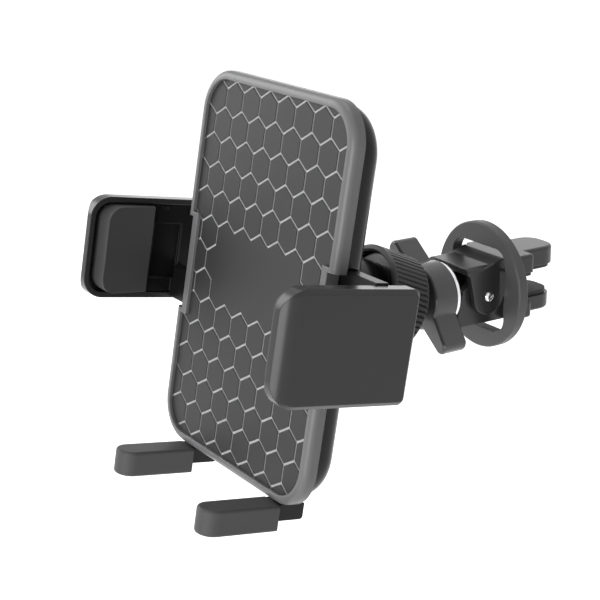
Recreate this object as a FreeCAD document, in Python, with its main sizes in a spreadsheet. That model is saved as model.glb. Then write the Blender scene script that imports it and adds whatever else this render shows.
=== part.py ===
import FreeCAD, Part
import math
import os

import Sketcher

# Air vent phone holder, in millimetres.
#
# Part frame: +Z up, +X to the right of someone facing the phone, the vent
# ahead along +Y. The origin is the middle of the slot between the clamp's
# jaws, where the vent's blade sits, and the clamp's axis is the Y axis.
#
# The cradle (bezel, pad, housing, arms, feet) is drawn in its own frame: the
# middle of the pad's face is its origin, +Y runs into the housing and +Z up
# the plate. The ball socket and collar are drawn on the socket's axis, with
# the ball's centre as origin. The clamp is drawn on the stud's axis, also
# from the ball's centre.

V = FreeCAD.Vector

SIZES = [
    # the grip pad and its honeycomb
    ("pad_width", 60.0),
    ("pad_height", 88.3),
    ("pad_corner", 8.0),
    ("pad_depth", 1.8),
    ("cell_width", 7.5),
    ("cell_row_pitch", 6.59),
    ("cell_groove", 0.6),
    ("cell_height", 0.45),
    ("pad_gap", 0.05),
    ("smooth_half", 19.5),
    # the bezel round the pad
    ("rim_width", 2.2),
    ("rim_rise", 0.8),
    ("rim_round", 1.6),
    ("rim_bevel", 0.5),
    ("bezel_back", 2.6),
    ("notch_low", 13.9),
    ("notch_high", 9.4),
    ("notch_depth", 2.7),
    # the housing behind it
    ("housing_inset", 1.0),
    ("housing_depth", 6.5),
    ("housing_wall", 1.8),
    ("housing_round", 4.6),
    ("housing_corner_more", 2.5),
    ("cavity_inset", 2.3),
    ("rib_width", 1.2),
    # the two arms, their racks and the pinion
    ("arm_front_gap", 0.3),
    ("arm_thick", 3.3),
    ("arm_high", 10.2),
    ("arm_low", 14.2),
    ("arm_reach", 8.0),
    ("arm_gap", 0.25),
    ("gear_module", 0.8),
    ("gear_teeth", 12.0),
    ("gear_backlash", 0.36),
    ("gear_tip", 0.62),
    ("gear_root", 0.95),
    ("rack_teeth", 9.0),
    ("axle_radius", 1.6),
    ("axle_fit", 0.1),
    # the jaws at the ends of the arms
    ("jaw_outer", 47.0),
    ("jaw_depth", 4.4),
    ("jaw_wall", 1.4),
    ("jaw_front", 22.0),
    ("jaw_rear", 12.3),
    ("jaw_top", 11.0),
    ("right_jaw_drop", 1.25),
    ("jaw_bottom", 14.7),
    ("jaw_front_round", 5.5),
    ("jaw_rear_round", 1.7),
    ("jaw_edge", 1.0),
    ("jaw_shoulder", 2.6),
    ("jaw_sweep", 4.6),
    ("grip_thick_front", 7.2),
    ("grip_thick_rear", 4.2),
    ("grip_front", 19.1),
    ("grip_rear", 5.0),
    ("grip_margin", 0.5),
    ("grip_round", 4.0),
    ("panel_recess", 0.8),
    ("panel_front", 3.7),
    ("panel_back", 4.1),
    ("panel_low", 5.4),
    ("panel_high", 6.4),
    # the two feet
    ("foot_from_side", 10.1),
    ("foot_width", 5.6),
    ("foot_arm_height", 3.9),
    ("foot_drop", 0.45),
    ("foot_stem_length", 24.0),
    ("foot_stem_thick", 3.2),
    ("foot_reach", 15.8),
    ("foot_fit", 0.2),
    ("foot_heel", 1.0),
    ("cap_width", 7.3),
    ("cap_height", 6.2),
    ("cap_reach", 19.2),
    ("cap_drop", 0.45),
    ("cap_edge", 0.7),
    ("cap_wall", 0.9),
    # the release button in the housing's left side
    ("button_height", 24.0),
    ("button_length", 10.0),
    ("button_thick", 2.6),
    ("button_proud", 1.2),
    ("button_fit", 0.2),
    # the ball, its socket and the knurled collar
    ("ball_radius", 8.5),
    ("ball_back", 40.35),
    ("ball_below", 5.26),
    ("lean_angle", 9.9),
    ("socket_angle", 14.1),
    ("flange_radius", 13.5),
    ("flange_thick", 2.0),
    ("neck_radius", 8.7),
    ("neck_root_radius", 10.6),
    ("neck_length", 12.0),
    ("drum_radius", 11.1),
    ("drum_length", 7.5),
    ("drum_rear", 0.8),
    ("cup_gap", 0.15),
    ("liner_thick", 0.95),
    ("liner_gap", 0.15),
    ("liner_rear", 1.75),
    ("liner_slot", 1.2),
    ("collar_radius", 12.8),
    ("collar_front", 9.4),
    ("collar_rear", 3.0),
    ("collar_lip", 1.05),
    ("collar_lip_gap", 0.18),
    ("collar_rim", 1.1),
    ("collar_chamfer", 1.1),
    ("thread_fit", 0.1),
    ("knurl_count", 60.0),
    ("knurl_depth", 0.5),
    ("knurl_width", 0.95),
    ("knurl_rim", 0.9),
    # the stud, wing nut and washer
    ("slot_back", 45.0),
    ("stud_radius", 2.9),
    ("stud_collar", 3.6),
    ("stud_seat_gap", 0.12),
    ("stud_collar_end", 8.6),
    ("eye_radius", 4.2),
    ("eye_thick", 4.8),
    ("nut_front", 8.8),
    ("nut_length", 7.2),
    ("nut_radius", 8.4),
    ("nut_bore", 3.0),
    ("nut_edge", 0.5),
    ("wing_angle", -46.5),
    ("wing_reach", 16.2),
    ("wing_root", 3.4),
    ("wing_tip", 2.1),
    ("wing_round", 1.8),
    ("washer_radius", 7.75),
    ("washer_thick", 0.9),
    ("washer_gap", 0.05),
    # the clamp: bracket, upper jaw, lower jaw and hinge pin
    ("bracket_front", 18.9),
    ("bracket_half", 8.0),
    ("bracket_wall", 1.6),
    ("bracket_top", 7.4),
    ("bracket_fillet", 1.3),
    ("ear_radius", 4.7),
    ("ear_front", 19.7),
    ("pin_back", 25.9),
    ("pin_below", 0.8),
    ("pin_radius", 1.25),
    ("pin_fit", 0.05),
    ("pin_proud", 0.3),
    ("block_front", 28.9),
    ("clamp_top", 8.6),
    ("clamp_upper", 3.9),
    ("clamp_lower", 4.2),
    ("clamp_bottom", 8.2),
    ("clamp_base_half", 9.5),
    ("clamp_base_front", 32.4),
    ("clamp_base_share", 0.39),
    ("clamp_tongue_half", 5.8),
    ("clamp_upper_reach", 50.8),
    ("clamp_lower_reach", 50.0),
    ("clamp_tip_round", 4.6),
    ("clamp_edge", 0.8),
    ("clamp_liner", 1.0),
    ("clamp_lower_liner", 1.2),
    ("clamp_liner_inset", 0.7),
    ("lever_half", 6.1),
    ("lever_cheek", 2.3),
    ("lever_nose", 17.45),
    ("lever_floor", 1.9),
    # the stop ring that rests on the vent
    ("ring_radius", 16.45),
    ("ring_front", 28.7),
    ("ring_thick", 3.0),
    ("ring_window_width", 21.0),
    ("ring_window_height", 22.0),
    ("ring_window_round", 4.0),
    ("ring_edge", 0.35),
    ("ring_tab_inset", 0.5),
    ("ring_tab_height", 6.0),
    # small screws in the housing's back
    ("screw_radius", 1.7),
    ("screw_seat", 0.8),
    ("screw_from_side", 7.5),
    ("screw_from_top", 8.5),
]


class Size:
    """A length that carries both its value and the sheet expression for it."""

    def __init__(self, value, text):
        self.value = float(value)
        self.text = text

    def _join(self, other, sign, value):
        return Size(value, "(" + self.text + " " + sign + " " + other.text + ")")

    def __add__(self, other):
        other = size(other)
        return self._join(other, "+", self.value + other.value)

    def __radd__(self, other):
        return size(other) + self

    def __sub__(self, other):
        other = size(other)
        return self._join(other, "-", self.value - other.value)

    def __rsub__(self, other):
        return size(other) - self

    def __mul__(self, other):
        other = size(other)
        return self._join(other, "*", self.value * other.value)

    def __rmul__(self, other):
        return size(other) * self

    def __truediv__(self, other):
        other = size(other)
        return self._join(other, "/", self.value / other.value)

    def __neg__(self):
        return size(-1) * self


def size(value):
    if isinstance(value, Size):
        return value
    return Size(value, "(" + repr(float(value)) + ")")


doc = FreeCAD.newDocument("vent_phone_holder")
sheet = doc.addObject("Spreadsheet::Sheet", "Sizes")
S = {}
for row, (alias, number) in enumerate(SIZES):
    cell = "B" + str(row + 1)
    sheet.set("A" + str(row + 1), alias)
    sheet.set(cell, str(number))
    sheet.setAlias(cell, alias)
    S[alias] = Size(number, "Sizes." + alias)
doc.recompute()


# ---------------------------------------------------------------- helpers

PARTS = []


def new_body(label):
    body = doc.addObject("PartDesign::Body", label)
    body.Label = label
    PARTS.append(body)
    return body


def new_solid(label, kind):
    solid = doc.addObject(kind, label)
    solid.Label = label
    PARTS.append(solid)
    return solid


def bind(obj, name, value):
    obj.setExpression(name, size(value).text)


def new_sketch(body, plane, offset, turn=0.0, shift=None):
    """A sketch on one of the body's origin planes, moved along its normal."""
    sketch = body.newObject("Sketcher::SketchObject", "Sketch")
    support = [f for f in body.Origin.OriginFeatures if f.Role == plane][0]
    sketch.AttachmentSupport = [(support, "")]
    sketch.MapMode = "FlatFace"
    base = V(0, 0, size(offset).value)
    if shift:
        base = V(shift[0].value, shift[1].value, size(offset).value)
    spin = FreeCAD.Rotation(V(0, 0, 1), turn)
    sketch.AttachmentOffset = FreeCAD.Placement(base, spin)
    bind(sketch, "AttachmentOffset.Base.z", offset)
    if shift:
        bind(sketch, "AttachmentOffset.Base.x", shift[0])
        bind(sketch, "AttachmentOffset.Base.y", shift[1])
    return sketch


def fix_point(sketch, geo, pos, x, y):
    for kind, value in (("DistanceX", x), ("DistanceY", y)):
        number = sketch.addConstraint(Sketcher.Constraint(kind, geo, pos, value.value))
        bind(sketch, "Constraints[" + str(number) + "]", value)


def draw_path(sketch, corners):
    """A closed outline. A corner is (x, y), (x, y, r) for a square corner that
    is rounded, or (x, y, r, sense) for the end of an arc of radius r."""
    count = len(corners)
    nodes = []
    for i in range(count):
        corner = corners[i]
        x, y = size(corner[0]), size(corner[1])
        if len(corner) == 3:
            r = size(corner[2])
            before = corners[i - 1]
            after = corners[(i + 1) % count]
            ax = size(before[0]).value - x.value
            ay = size(before[1]).value - y.value
            bx = size(after[0]).value - x.value
            by = size(after[1]).value - y.value
            first = (x + sign_of(ax) * r, y + sign_of(ay) * r)
            last = (x + sign_of(bx) * r, y + sign_of(by) * r)
            turn = -1 if ax * by - ay * bx > 0 else 1
            nodes.append((first[0], first[1], None))
            nodes.append((last[0], last[1], (r, turn)))
        elif len(corner) == 4:
            nodes.append((x, y, (size(corner[2]), corner[3])))
        else:
            nodes.append((x, y, None))
    total = len(nodes)
    for i in range(total):
        start = nodes[i]
        end = nodes[(i + 1) % total]
        a = V(start[0].value, start[1].value, 0)
        b = V(end[0].value, end[1].value, 0)
        if end[2] is None:
            geo = sketch.addGeometry(Part.LineSegment(a, b), False)
            fix_point(sketch, geo, 1, start[0], start[1])
        else:
            r, turn = end[2]
            middle = (a + b) * 0.5
            half = (b - a).Length / 2
            rise = math.sqrt(max(r.value ** 2 - half ** 2, 0.0))
            side = V(-(b - a).y, (b - a).x, 0)
            side.normalize()
            centre = middle + side * rise * turn
            start_angle = math.atan2(a.y - centre.y, a.x - centre.x)
            end_angle = math.atan2(b.y - centre.y, b.x - centre.x)
            circle = Part.Circle(centre, V(0, 0, 1), r.value)
            if turn > 0:
                geo = sketch.addGeometry(Part.ArcOfCircle(circle, start_angle, end_angle), False)
                first, last = 1, 2
            else:
                geo = sketch.addGeometry(Part.ArcOfCircle(circle, end_angle, start_angle), False)
                first, last = 2, 1
            number = sketch.addConstraint(Sketcher.Constraint("Radius", geo, r.value))
            bind(sketch, "Constraints[" + str(number) + "]", r)
            fix_point(sketch, geo, first, start[0], start[1])
            fix_point(sketch, geo, last, end[0], end[1])
            continue
        fix_point(sketch, geo, 2, end[0], end[1])
    return sketch


def sign_of(number):
    if abs(number) < 1e-6:
        return 0
    return 1 if number > 0 else -1


def draw_circle(sketch, x, y, radius):
    x, y, radius = size(x), size(y), size(radius)
    circle = Part.Circle(V(x.value, y.value, 0), V(0, 0, 1), radius.value)
    geo = sketch.addGeometry(circle, False)
    fix_point(sketch, geo, 3, x, y)
    number = sketch.addConstraint(Sketcher.Constraint("Radius", geo, radius.value))
    bind(sketch, "Constraints[" + str(number) + "]", radius)
    return sketch


# each plane's normal, as the sign of the axis that it lies along
NORMAL = {"XY_Plane": 1, "XZ_Plane": -1, "YZ_Plane": 1}


def extrude(body, kind, plane, low, high, outlines, circles=()):
    """Pads or pockets outlines drawn on a plane between two coordinates."""
    low, high = size(low), size(high)
    sketch = new_sketch(body, plane, low * NORMAL[plane])
    for outline in outlines:
        draw_path(sketch, outline)
    for circle in circles:
        draw_circle(sketch, *circle)
    doc.recompute()
    feature = body.newObject("PartDesign::" + kind, kind)
    feature.Profile = sketch
    feature.Length = high.value - low.value
    bind(feature, "Length", high - low)
    along = NORMAL[plane] > 0
    feature.Reversed = (not along) if kind == "Pad" else along
    body.Tip = feature
    doc.recompute()
    return feature


def revolve(body, kind, plane, outline, axis, turn=0.0, shift=None):
    sketch = new_sketch(body, plane, 0, turn, shift)
    draw_path(sketch, outline)
    doc.recompute()
    feature = body.newObject("PartDesign::" + kind, kind)
    feature.Profile = sketch
    feature.ReferenceAxis = (sketch, [axis])
    feature.Angle = 360.0
    body.Tip = feature
    doc.recompute()
    return feature


def origin_axis(body, role):
    return [f for f in body.Origin.OriginFeatures if f.Role == role][0]


def polar(body, feature, role, count):
    pattern = body.newObject("PartDesign::PolarPattern", "PolarPattern")
    pattern.Originals = [feature]
    pattern.Axis = (origin_axis(body, role), [""])
    pattern.Angle = 360.0
    pattern.Occurrences = int(round(size(count).value))
    body.Tip = pattern
    doc.recompute()
    return pattern


def linear(body, feature, role, length, count):
    pattern = body.newObject("PartDesign::LinearPattern", "LinearPattern")
    pattern.Originals = [feature]
    pattern.Direction = (origin_axis(body, role), [""])
    pattern.Length = size(length).value
    bind(pattern, "Length", length)
    pattern.Occurrences = int(round(size(count).value))
    body.Tip = pattern
    doc.recompute()
    return pattern


def mirrored(body, feature, role):
    pattern = body.newObject("PartDesign::Mirrored", "Mirrored")
    pattern.Originals = [feature]
    pattern.MirrorPlane = (origin_axis(body, role), [""])
    body.Tip = pattern
    doc.recompute()
    return pattern


def dress(body, kind, amount, test):
    """Rounds or chamfers the edges of the body's tip that pass a test."""
    base = body.Tip
    names = []
    for i, edge in enumerate(base.Shape.Edges):
        if test(edge):
            names.append("Edge" + str(i + 1))
    if not names:
        raise RuntimeError("no edge to dress on " + body.Label)
    feature = body.newObject("PartDesign::" + kind, kind)
    feature.Base = (base, names)
    name = "Radius" if kind == "Fillet" else "Size"
    setattr(feature, name, size(amount).value)
    bind(feature, name, amount)
    body.Tip = feature
    doc.recompute()
    return feature


def flat_at(edge, axis, value):
    """True where the whole edge lies at one coordinate."""
    box = edge.BoundBox
    low = (box.XMin, box.YMin, box.ZMin)[axis]
    high = (box.XMax, box.YMax, box.ZMax)[axis]
    return abs(low - value) < 1e-3 and abs(high - value) < 1e-3


def rounded(half_x, low, high, r):
    return [(-half_x, low, r), (half_x, low, r), (half_x, high, r), (-half_x, high, r)]


def box_path(x0, x1, y0, y1):
    return [(x0, y0), (x1, y0), (x1, y1), (x0, y1)]


# --------------------------------------------------------- placements

lean = S["lean_angle"].value
tilt = lean + S["socket_angle"].value
ball_at = V(0, -S["slot_back"].value, 0)
ball_in_cradle = V(0, S["ball_back"].value, -S["ball_below"].value)
lean_turn = FreeCAD.Rotation(V(1, 0, 0), -lean)
CRADLE = FreeCAD.Placement(ball_at - lean_turn.multVec(ball_in_cradle), lean_turn)
SOCKET = FreeCAD.Placement(ball_at, FreeCAD.Rotation(V(1, 0, 0), -tilt))
MOUNT = FreeCAD.Placement(ball_at, FreeCAD.Rotation())


# --------------------------------------------------------- shared cradle sizes

pad_half = S["pad_width"] / 2
pad_tall = S["pad_height"] / 2
bezel_half = pad_half + S["rim_width"]
bezel_tall = pad_tall + S["rim_width"]
bezel_corner = S["pad_corner"] + S["rim_width"]
notch_half = bezel_half - S["notch_depth"]
pad_notch_half = notch_half - S["rim_width"]
pad_notch_low = -(S["notch_low"] + S["rim_width"] / 2)
pad_notch_high = S["notch_high"] + S["rim_width"] / 2
bezel_floor = S["pad_depth"]
housing_half = bezel_half - S["housing_inset"]
housing_tall = bezel_tall - S["housing_inset"]
housing_corner = bezel_corner - S["housing_inset"] + S["housing_corner_more"]
housing_back = S["bezel_back"] + S["housing_depth"]
cavity_back = housing_back - S["housing_wall"]
cavity_half = housing_half - S["cavity_inset"]
cavity_tall = housing_tall - S["cavity_inset"]
cavity_notch = notch_half - S["cavity_inset"]
arm_front = S["bezel_back"] + S["arm_front_gap"]
arm_back = arm_front + S["arm_thick"]
pinion_radius = S["gear_module"] * S["gear_teeth"] / 2
pinion_height = (S["arm_high"] - S["arm_low"]) / 2
rack_pitch = S["gear_module"] * math.pi


def pad_outline(inset):
    """The pad's outline with its two stepped sides, shrunk by an inset."""
    w = pad_half - inset
    n = pad_notch_half - inset
    t = pad_tall - inset
    r = S["pad_corner"] - inset
    low = pad_notch_low - inset
    high = pad_notch_high + inset
    return [
        (-w, -t, r), (w, -t, r), (w, low), (n, low), (n, high), (w, high),
        (w, t, r), (-w, t, r), (-w, high), (-n, high), (-n, low), (-w, low),
    ]


# --------------------------------------------------------- front bezel

body = new_body("front_bezel")
outline = rounded(bezel_half, -bezel_tall, bezel_tall, bezel_corner)
extrude(body, "Pad", "XZ_Plane", -S["rim_rise"], S["bezel_back"], [outline])
front_y = -S["rim_rise"].value
dress(body, "Fillet", S["rim_round"], lambda e: flat_at(e, 1, front_y))
notches = []
for side in (-1, 1):
    notches.append(box_path(side * notch_half, side * (bezel_half + 1),
                            -S["notch_low"], S["notch_high"]))
extrude(body, "Pocket", "XZ_Plane", -S["rim_rise"] - 1, S["bezel_back"] + 1, notches)
extrude(body, "Pocket", "XZ_Plane", -S["rim_rise"] - 1, bezel_floor, [pad_outline(size(0))])
body.Placement = CRADLE


# --------------------------------------------------------- grip pad with honeycomb

def honeycomb_pad():
    """Raised hexagonal cells with grooves between them, left out in the
    middle, where the face is one smooth field."""
    inset = S["pad_gap"].value
    outline = []
    corners = pad_outline(S["pad_gap"])
    for corner in corners:
        x, z = corner[0].value, corner[1].value
        outline.append((x, z, corner[2].value if len(corner) > 2 else 0.0))
    edges = []
    count = len(outline)
    ends = []
    for i in range(count):
        x, z, r = outline[i]
        here = V(x, 0, z)
        before = V(outline[i - 1][0], 0, outline[i - 1][1])
        after = V(outline[(i + 1) % count][0], 0, outline[(i + 1) % count][1])
        if r:
            back = here + (before - here).normalize() * r
            on = here + (after - here).normalize() * r
            centre = back + on - here
            middle = centre + (here - centre).normalize() * r
            ends.append((back, middle, on))
        else:
            ends.append((here, None, here))
    for i in range(count):
        back, middle, on = ends[i]
        if middle is not None:
            edges.append(Part.Arc(back, middle, on).toShape())
        following = ends[(i + 1) % count][0]
        edges.append(Part.makeLine(on, following))
    face = Part.Face(Part.Wire(edges))
    top = S["cell_height"].value
    base = face.extrude(V(0, S["pad_depth"].value - top, 0))
    base.translate(V(0, top, 0))
    width = S["cell_width"].value
    pitch = S["cell_row_pitch"].value
    groove = S["cell_groove"].value
    tall = pad_tall.value
    reach = pad_half.value
    stretch = pitch / (width * math.sqrt(3.0) / 2.0)

    def cell(cx, cz, grow):
        points = []
        radius = (width / 2.0 + grow) / math.cos(math.pi / 6)
        for k in range(6):
            angle = math.pi / 6 + k * math.pi / 3
            points.append(V(cx + radius * math.cos(angle), 0,
                            cz + radius * math.sin(angle) * stretch))
        points.append(points[0])
        return Part.Face(Part.makePolygon(points))

    rows = int(2 * tall / pitch) + 2
    first = tall - width / math.sqrt(3.0) * stretch + pitch
    reach_columns = int(reach / width) + 1
    raised = []
    smooth = []
    for k in range(rows + 1):
        cz = first - k * pitch
        shift = 0.5 if k % 2 else 0.0
        for column in range(-reach_columns, reach_columns + 1):
            cx = (column + shift) * width
            if abs(cx) - width / 2 > reach or abs(cz) - width > tall:
                continue
            if abs(cz) < 1.35 * pitch and abs(cx) < S["smooth_half"].value:
                smooth.append(cell(cx, cz, 0.01))
            else:
                raised.append(cell(cx, cz, -groove / 2))
    field = smooth[0].multiFuse(smooth[1:]).removeSplitter()
    outer = max(field.Faces, key=lambda f: f.Area)
    field_face = Part.Face(outer.OuterWire).makeOffset2D(-groove / 2, join=2)
    solids = []
    limit = face.extrude(V(0, top, 0))
    for shape in raised + list(field_face.Faces):
        block = shape.extrude(V(0, top + 0.02, 0))
        box = shape.BoundBox
        inside = abs(box.Center.x) + width < pad_notch_half.value
        inside = inside and abs(box.Center.z) + width < tall
        if not inside:
            block = block.common(face.extrude(V(0, top + 0.02, 0)))
        if block.Volume > 0.05:
            solids.append(block)
    return base.multiFuse(solids).removeSplitter()


pad = new_solid("grip_pad", "Part::Feature")
pad.Shape = honeycomb_pad()
pad.Placement = CRADLE


# --------------------------------------------------------- back housing

body = new_body("back_housing")
outline = rounded(housing_half, -housing_tall, housing_tall, housing_corner)
extrude(body, "Pad", "XZ_Plane", S["bezel_back"], housing_back, [outline])
rear_y = housing_back.value
dress(body, "Fillet", S["housing_round"], lambda e: flat_at(e, 1, rear_y))
notches = []
for side in (-1, 1):
    notches.append(box_path(side * notch_half, side * (housing_half + 1),
                            -S["notch_low"], S["notch_high"]))
extrude(body, "Pocket", "XZ_Plane", S["bezel_back"] - 1, housing_back + 1, notches)
cavity = [
    (-cavity_half, -cavity_tall, housing_corner - S["cavity_inset"]),
    (cavity_half, -cavity_tall, housing_corner - S["cavity_inset"]),
    (cavity_half, -(S["notch_low"] + S["cavity_inset"])),
    (cavity_notch, -(S["notch_low"] + S["cavity_inset"])),
    (cavity_notch, S["notch_high"] + S["cavity_inset"]),
    (cavity_half, S["notch_high"] + S["cavity_inset"]),
    (cavity_half, cavity_tall, housing_corner - S["cavity_inset"]),
    (-cavity_half, cavity_tall, housing_corner - S["cavity_inset"]),
    (-cavity_half, S["notch_high"] + S["cavity_inset"]),
    (-cavity_notch, S["notch_high"] + S["cavity_inset"]),
    (-cavity_notch, -(S["notch_low"] + S["cavity_inset"])),
    (-cavity_half, -(S["notch_low"] + S["cavity_inset"])),
]
extrude(body, "Pocket", "XZ_Plane", S["bezel_back"] - 1, cavity_back, [cavity])
# the ways through the side walls for the two arms
rack_low_top = pinion_height - pinion_radius + S["gear_tip"]
rack_high_low = pinion_height + pinion_radius - S["gear_tip"]
extrude(body, "Pocket", "XZ_Plane", S["bezel_back"] - 1, arm_back + S["arm_gap"], [
    box_path(-(housing_half + 1), -(cavity_notch - 1),
             -(S["arm_low"] + S["arm_gap"]), rack_low_top + S["arm_gap"]),
    box_path(cavity_notch - 1, housing_half + 1,
             rack_high_low - S["arm_gap"], S["arm_high"] + S["arm_gap"]),
])
# the ways through the bottom wall for the feet's stems
stem_front = S["bezel_back"] + S["foot_fit"] + S["arm_front_gap"]
stem_back = stem_front + S["foot_stem_thick"]
stem_half = S["foot_width"] / 2
foot_centre = pad_half - S["foot_from_side"]
ways = []
for side in (-1, 1):
    centre = foot_centre * side
    ways.append(box_path(centre - stem_half - S["foot_fit"], centre + stem_half + S["foot_fit"],
                         -(housing_tall + 1), -(cavity_tall - 1)))
extrude(body, "Pocket", "XZ_Plane", S["bezel_back"] - 1, stem_back + S["foot_fit"], ways)
# the button's opening in the left side
button_low = S["button_height"] - S["button_length"] / 2
button_high = S["button_height"] + S["button_length"] / 2
button_front = S["bezel_back"] + S["button_fit"] + 0.3
button_back = button_front + S["button_thick"]
extrude(body, "Pocket", "XZ_Plane", S["bezel_back"] - 1, button_back + S["button_fit"], [
    box_path(-(housing_half + 1), -(cavity_half - 0.5),
             button_low - S["button_fit"], button_high + S["button_fit"]),
])
# guide ribs beside the arms and the feet's stems, and the pinion's axle
rib = S["rib_width"]
ribs = [
    box_path(-cavity_notch, cavity_notch,
             S["arm_high"] + S["arm_gap"], S["arm_high"] + S["arm_gap"] + rib),
    box_path(-cavity_notch, cavity_notch,
             -(S["arm_low"] + S["arm_gap"] + rib), -(S["arm_low"] + S["arm_gap"])),
]
guide_top = -(S["arm_low"] + S["arm_gap"] + rib + 1)
for side in (-1, 1):
    for edge in (-1, 1):
        centre = foot_centre * side
        inner = centre + edge * (stem_half + S["foot_fit"])
        ribs.append(box_path(inner, inner + edge * rib, -cavity_tall, guide_top))
extrude(body, "Pad", "XZ_Plane", stem_front, cavity_back + 0.1, ribs)
extrude(body, "Pad", "XZ_Plane", S["bezel_back"] + 0.2, cavity_back + 0.1, [],
        [(0, pinion_height, S["axle_radius"])])
# seats for the four screws in the back
seats = []
for side in (-1, 1):
    for end in (-1, 1):
        seats.append(((housing_half - S["screw_from_side"]) * side,
                      (housing_tall - S["screw_from_top"]) * end,
                      S["screw_radius"] + 0.15))
extrude(body, "Pocket", "XZ_Plane", housing_back - S["screw_seat"], housing_back + 1, [], seats)
body.Placement = CRADLE


# --------------------------------------------------------- housing screws

number = 0
for seat in seats:
    number += 1
    body = new_body("housing_screw_" + str(number))
    screw_top = housing_back - 0.15
    extrude(body, "Pad", "XZ_Plane", housing_back - S["screw_seat"], screw_top, [],
            [(seat[0], seat[1], S["screw_radius"])])
    slot = 0.35
    arm = S["screw_radius"] * 0.7
    extrude(body, "Pocket", "XZ_Plane", screw_top - 0.35, screw_top + 1, [
        [
            (seat[0] - arm, seat[1] - slot), (seat[0] - slot, seat[1] - slot),
            (seat[0] - slot, seat[1] - arm), (seat[0] + slot, seat[1] - arm),
            (seat[0] + slot, seat[1] - slot), (seat[0] + arm, seat[1] - slot),
            (seat[0] + arm, seat[1] + slot), (seat[0] + slot, seat[1] + slot),
            (seat[0] + slot, seat[1] + arm), (seat[0] - slot, seat[1] + arm),
            (seat[0] - slot, seat[1] + slot), (seat[0] - arm, seat[1] + slot),
        ],
    ])
    body.Placement = CRADLE


# --------------------------------------------------------- pinion

root_radius = pinion_radius - S["gear_root"]
tip_radius = pinion_radius + S["gear_tip"]
tooth_half = rack_pitch / 4 - S["gear_backlash"] / 2
flank = math.tan(math.radians(20.0))
body = new_body("pinion")
extrude(body, "Pad", "XZ_Plane", arm_front + 0.1, arm_back - 0.1, [],
        [(0, 0, root_radius)])
tooth = [
    (-(tooth_half + S["gear_root"] * flank * 0.6), root_radius - 0.4),
    (tooth_half + S["gear_root"] * flank * 0.6, root_radius - 0.4),
    (tooth_half, pinion_radius),
    (tooth_half - S["gear_tip"] * flank * 1.7, tip_radius),
    (-(tooth_half - S["gear_tip"] * flank * 1.7), tip_radius),
    (-tooth_half, pinion_radius),
]
tooth_pad = extrude(body, "Pad", "XZ_Plane", arm_front + 0.1, arm_back - 0.1, [tooth])
polar(body, tooth_pad, "Y_Axis", S["gear_teeth"])
extrude(body, "Pocket", "XZ_Plane", arm_front - 1, arm_back + 1, [],
        [(0, 0, S["axle_radius"] + S["axle_fit"])])
body.Placement = CRADLE.multiply(FreeCAD.Placement(V(0, 0, pinion_height.value), FreeCAD.Rotation()))


# --------------------------------------------------------- arms, jaws and their grips

jaw_rim = S["jaw_outer"] - S["jaw_depth"]
panel_face = jaw_rim + 0.4
tray_floor = S["jaw_outer"] - S["jaw_wall"] - 0.3
panel_rear = S["jaw_rear"] - S["jaw_wall"] - 0.2

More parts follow.
